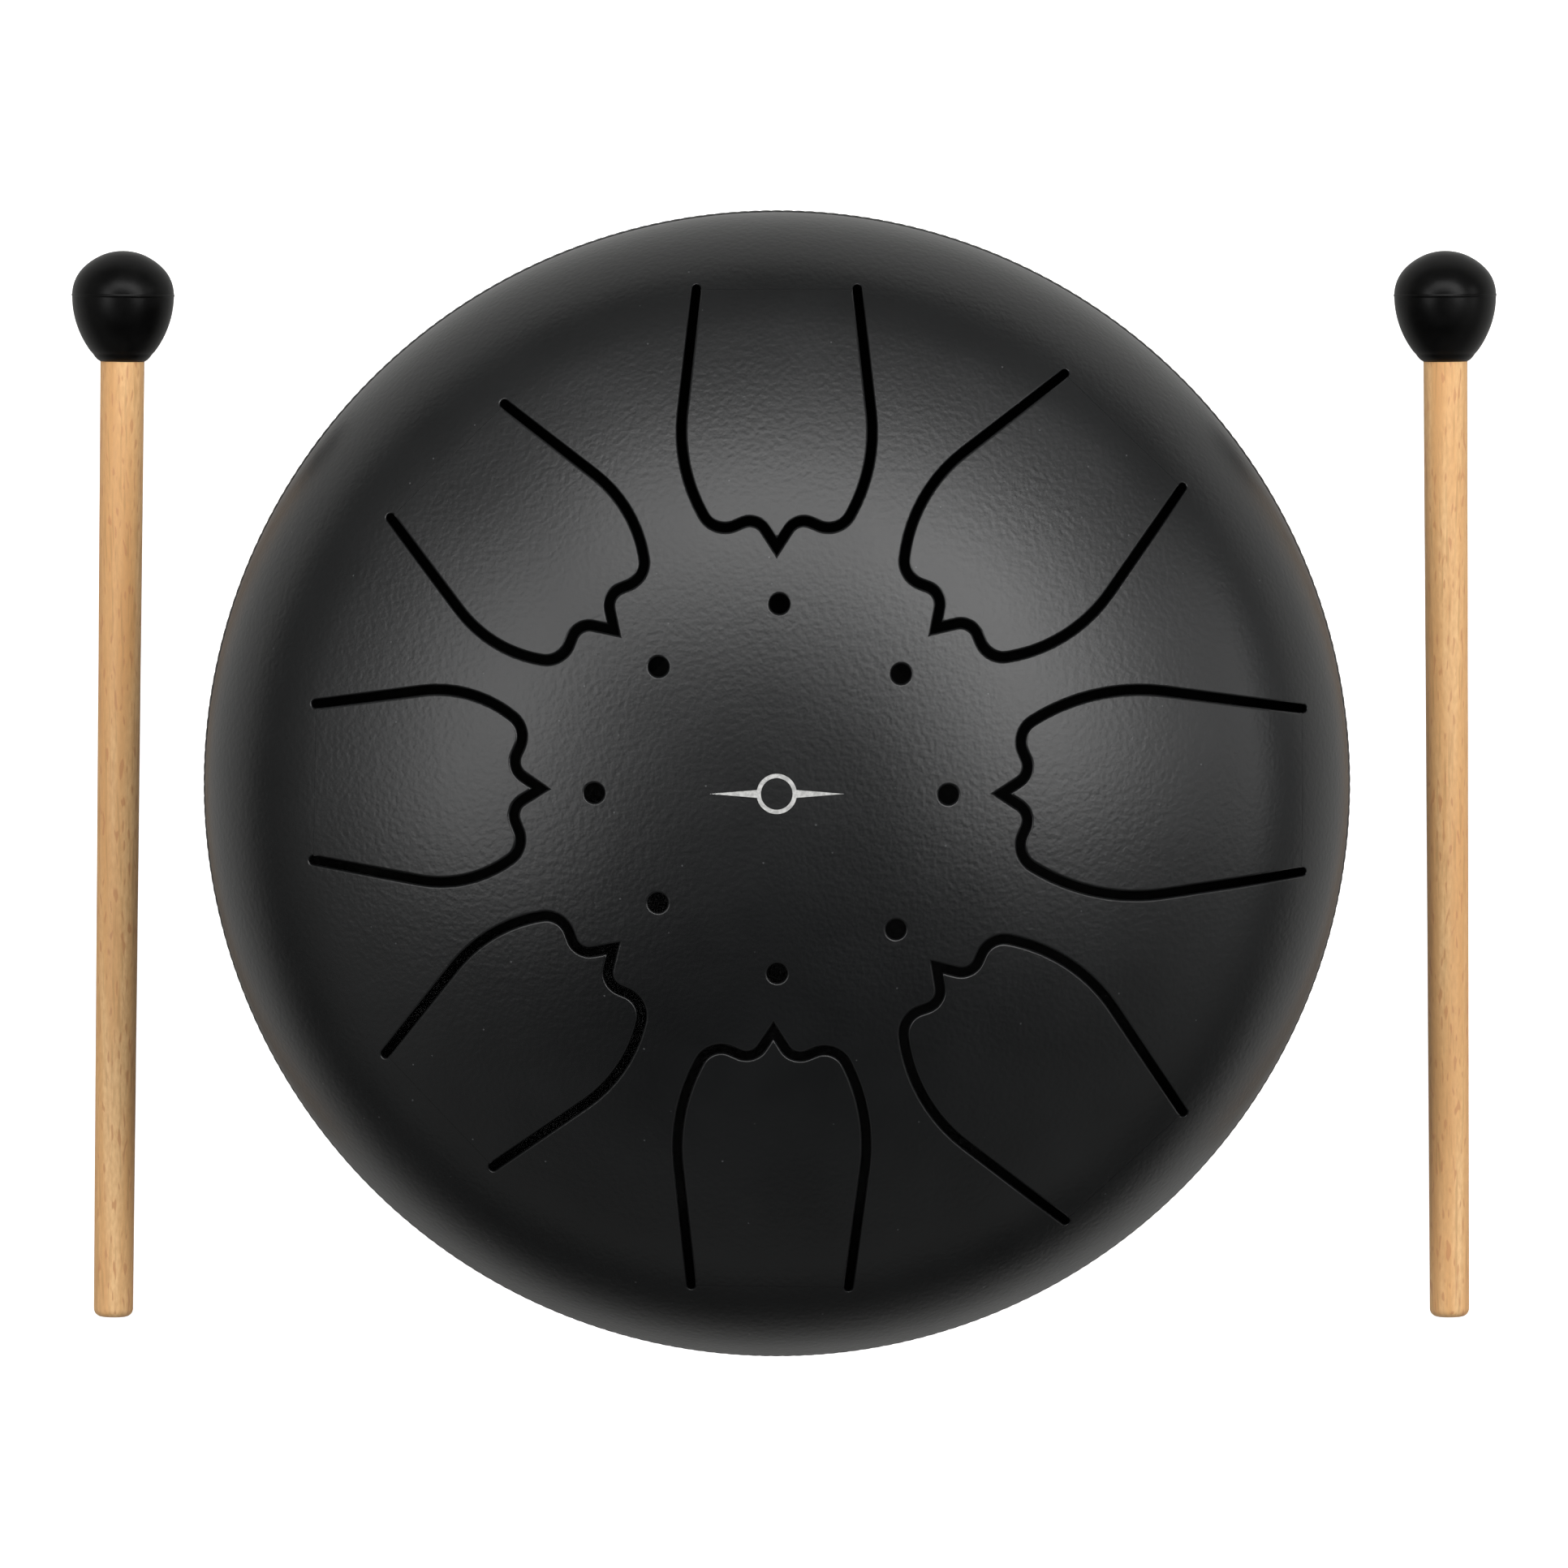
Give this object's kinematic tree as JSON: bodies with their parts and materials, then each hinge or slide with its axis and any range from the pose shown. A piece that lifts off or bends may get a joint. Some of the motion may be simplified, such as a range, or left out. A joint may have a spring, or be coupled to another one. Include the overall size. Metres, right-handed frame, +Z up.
{
  "type": "steel tongue drum",
  "caption": "Small round steel tongue drum with petal-shaped tongues cut in its domed top, on rubber feet, with a pair of wooden mallets with rubber heads.",
  "frame": {"origin": "on the drum's axis, in the plane its feet stand on", "axes": "+Z up along the drum's axis, +Y along the mallets towards their heads"},
  "size_m": [0.1933, 0.1524, 0.0833],
  "materials": {
    "coated_steel": "satin black powder coat over spun steel",
    "foot_rubber": "matt black rubber",
    "head_rubber": "moulded black rubber",
    "beech": "fine-sanded pale beech, unvarnished",
    "printed_ink": "pale grey printed ink"
  },
  "bodies": {
    "drum": {"upper_shell": "coated_steel", "lower_shell": "coated_steel", "seam_weld": "coated_steel", "foot_1": "foot_rubber", "foot_2": "foot_rubber", "foot_3": "foot_rubber", "foot_4": "foot_rubber", "centre_mark": "printed_ink"},
    "tongue_1": {"tongue_1": "coated_steel"},
    "tongue_2": {"tongue_2": "coated_steel"},
    "tongue_3": {"tongue_3": "coated_steel"},
    "tongue_4": {"tongue_4": "coated_steel"},
    "tongue_5": {"tongue_5": "coated_steel"},
    "tongue_6": {"tongue_6": "coated_steel"},
    "tongue_7": {"tongue_7": "coated_steel"},
    "tongue_8": {"tongue_8": "coated_steel"},
    "left_mallet": {"left_mallet_handle": "beech", "left_mallet_head": "head_rubber"},
    "right_mallet": {"right_mallet_handle": "beech", "right_mallet_head": "head_rubber"}
  },
  "joints": [
    {"name": "tongue_1_flex", "type": "hinge", "parent": "drum", "child": "tongue_1", "pos_m": [0.06885, -0.00024, 0.05953], "axis": [-0.0035, -1, 0], "range_deg": [-0.8, 0.8], "stiffness_Nm_per_rad": 3},
    {"name": "tongue_2_flex", "type": "hinge", "parent": "drum", "child": "tongue_2", "pos_m": [0.04526, 0.04686, 0.06341], "axis": [0.7193, -0.6947, 0], "range_deg": [-0.8, 0.8], "stiffness_Nm_per_rad": 3},
    {"name": "tongue_3_flex", "type": "hinge", "parent": "drum", "child": "tongue_3", "pos_m": [0, 0.06535, 0.06324], "axis": [1, 0, 0], "range_deg": [-0.8, 0.8], "stiffness_Nm_per_rad": 3},
    {"name": "tongue_4_flex", "type": "hinge", "parent": "drum", "child": "tongue_4", "pos_m": [-0.04289, 0.04289, 0.06665], "axis": [0.7071, 0.7071, 0], "range_deg": [-0.8, 0.8], "stiffness_Nm_per_rad": 3},
    {"name": "tongue_5_flex", "type": "hinge", "parent": "drum", "child": "tongue_5", "pos_m": [-0.06024, 0.00105, 0.06688], "axis": [0.0175, 0.9998, 0], "range_deg": [-0.8, 0.8], "stiffness_Nm_per_rad": 3},
    {"name": "tongue_6_flex", "type": "hinge", "parent": "drum", "child": "tongue_6", "pos_m": [-0.04407, -0.04182, 0.06659], "axis": [-0.6884, 0.7254, 0], "range_deg": [-0.8, 0.8], "stiffness_Nm_per_rad": 3},
    {"name": "tongue_7_flex", "type": "hinge", "parent": "drum", "child": "tongue_7", "pos_m": [-0.00091, -0.06504, 0.0635], "axis": [-0.9999, 0.014, 0], "range_deg": [-0.8, 0.8], "stiffness_Nm_per_rad": 3},
    {"name": "tongue_8_flex", "type": "hinge", "parent": "drum", "child": "tongue_8", "pos_m": [0.04552, -0.0495, 0.06139], "axis": [-0.7361, -0.6769, 0], "range_deg": [-0.8, 0.8], "stiffness_Nm_per_rad": 3},
    {"name": "left_mallet_lift", "type": "slide", "parent": "drum", "child": "left_mallet", "axis": [0, 0, 1], "range_m": [0, 0.12]},
    {"name": "right_mallet_lift", "type": "slide", "parent": "drum", "child": "right_mallet", "axis": [0, 0, 1], "range_m": [0, 0.12]}
  ]
}
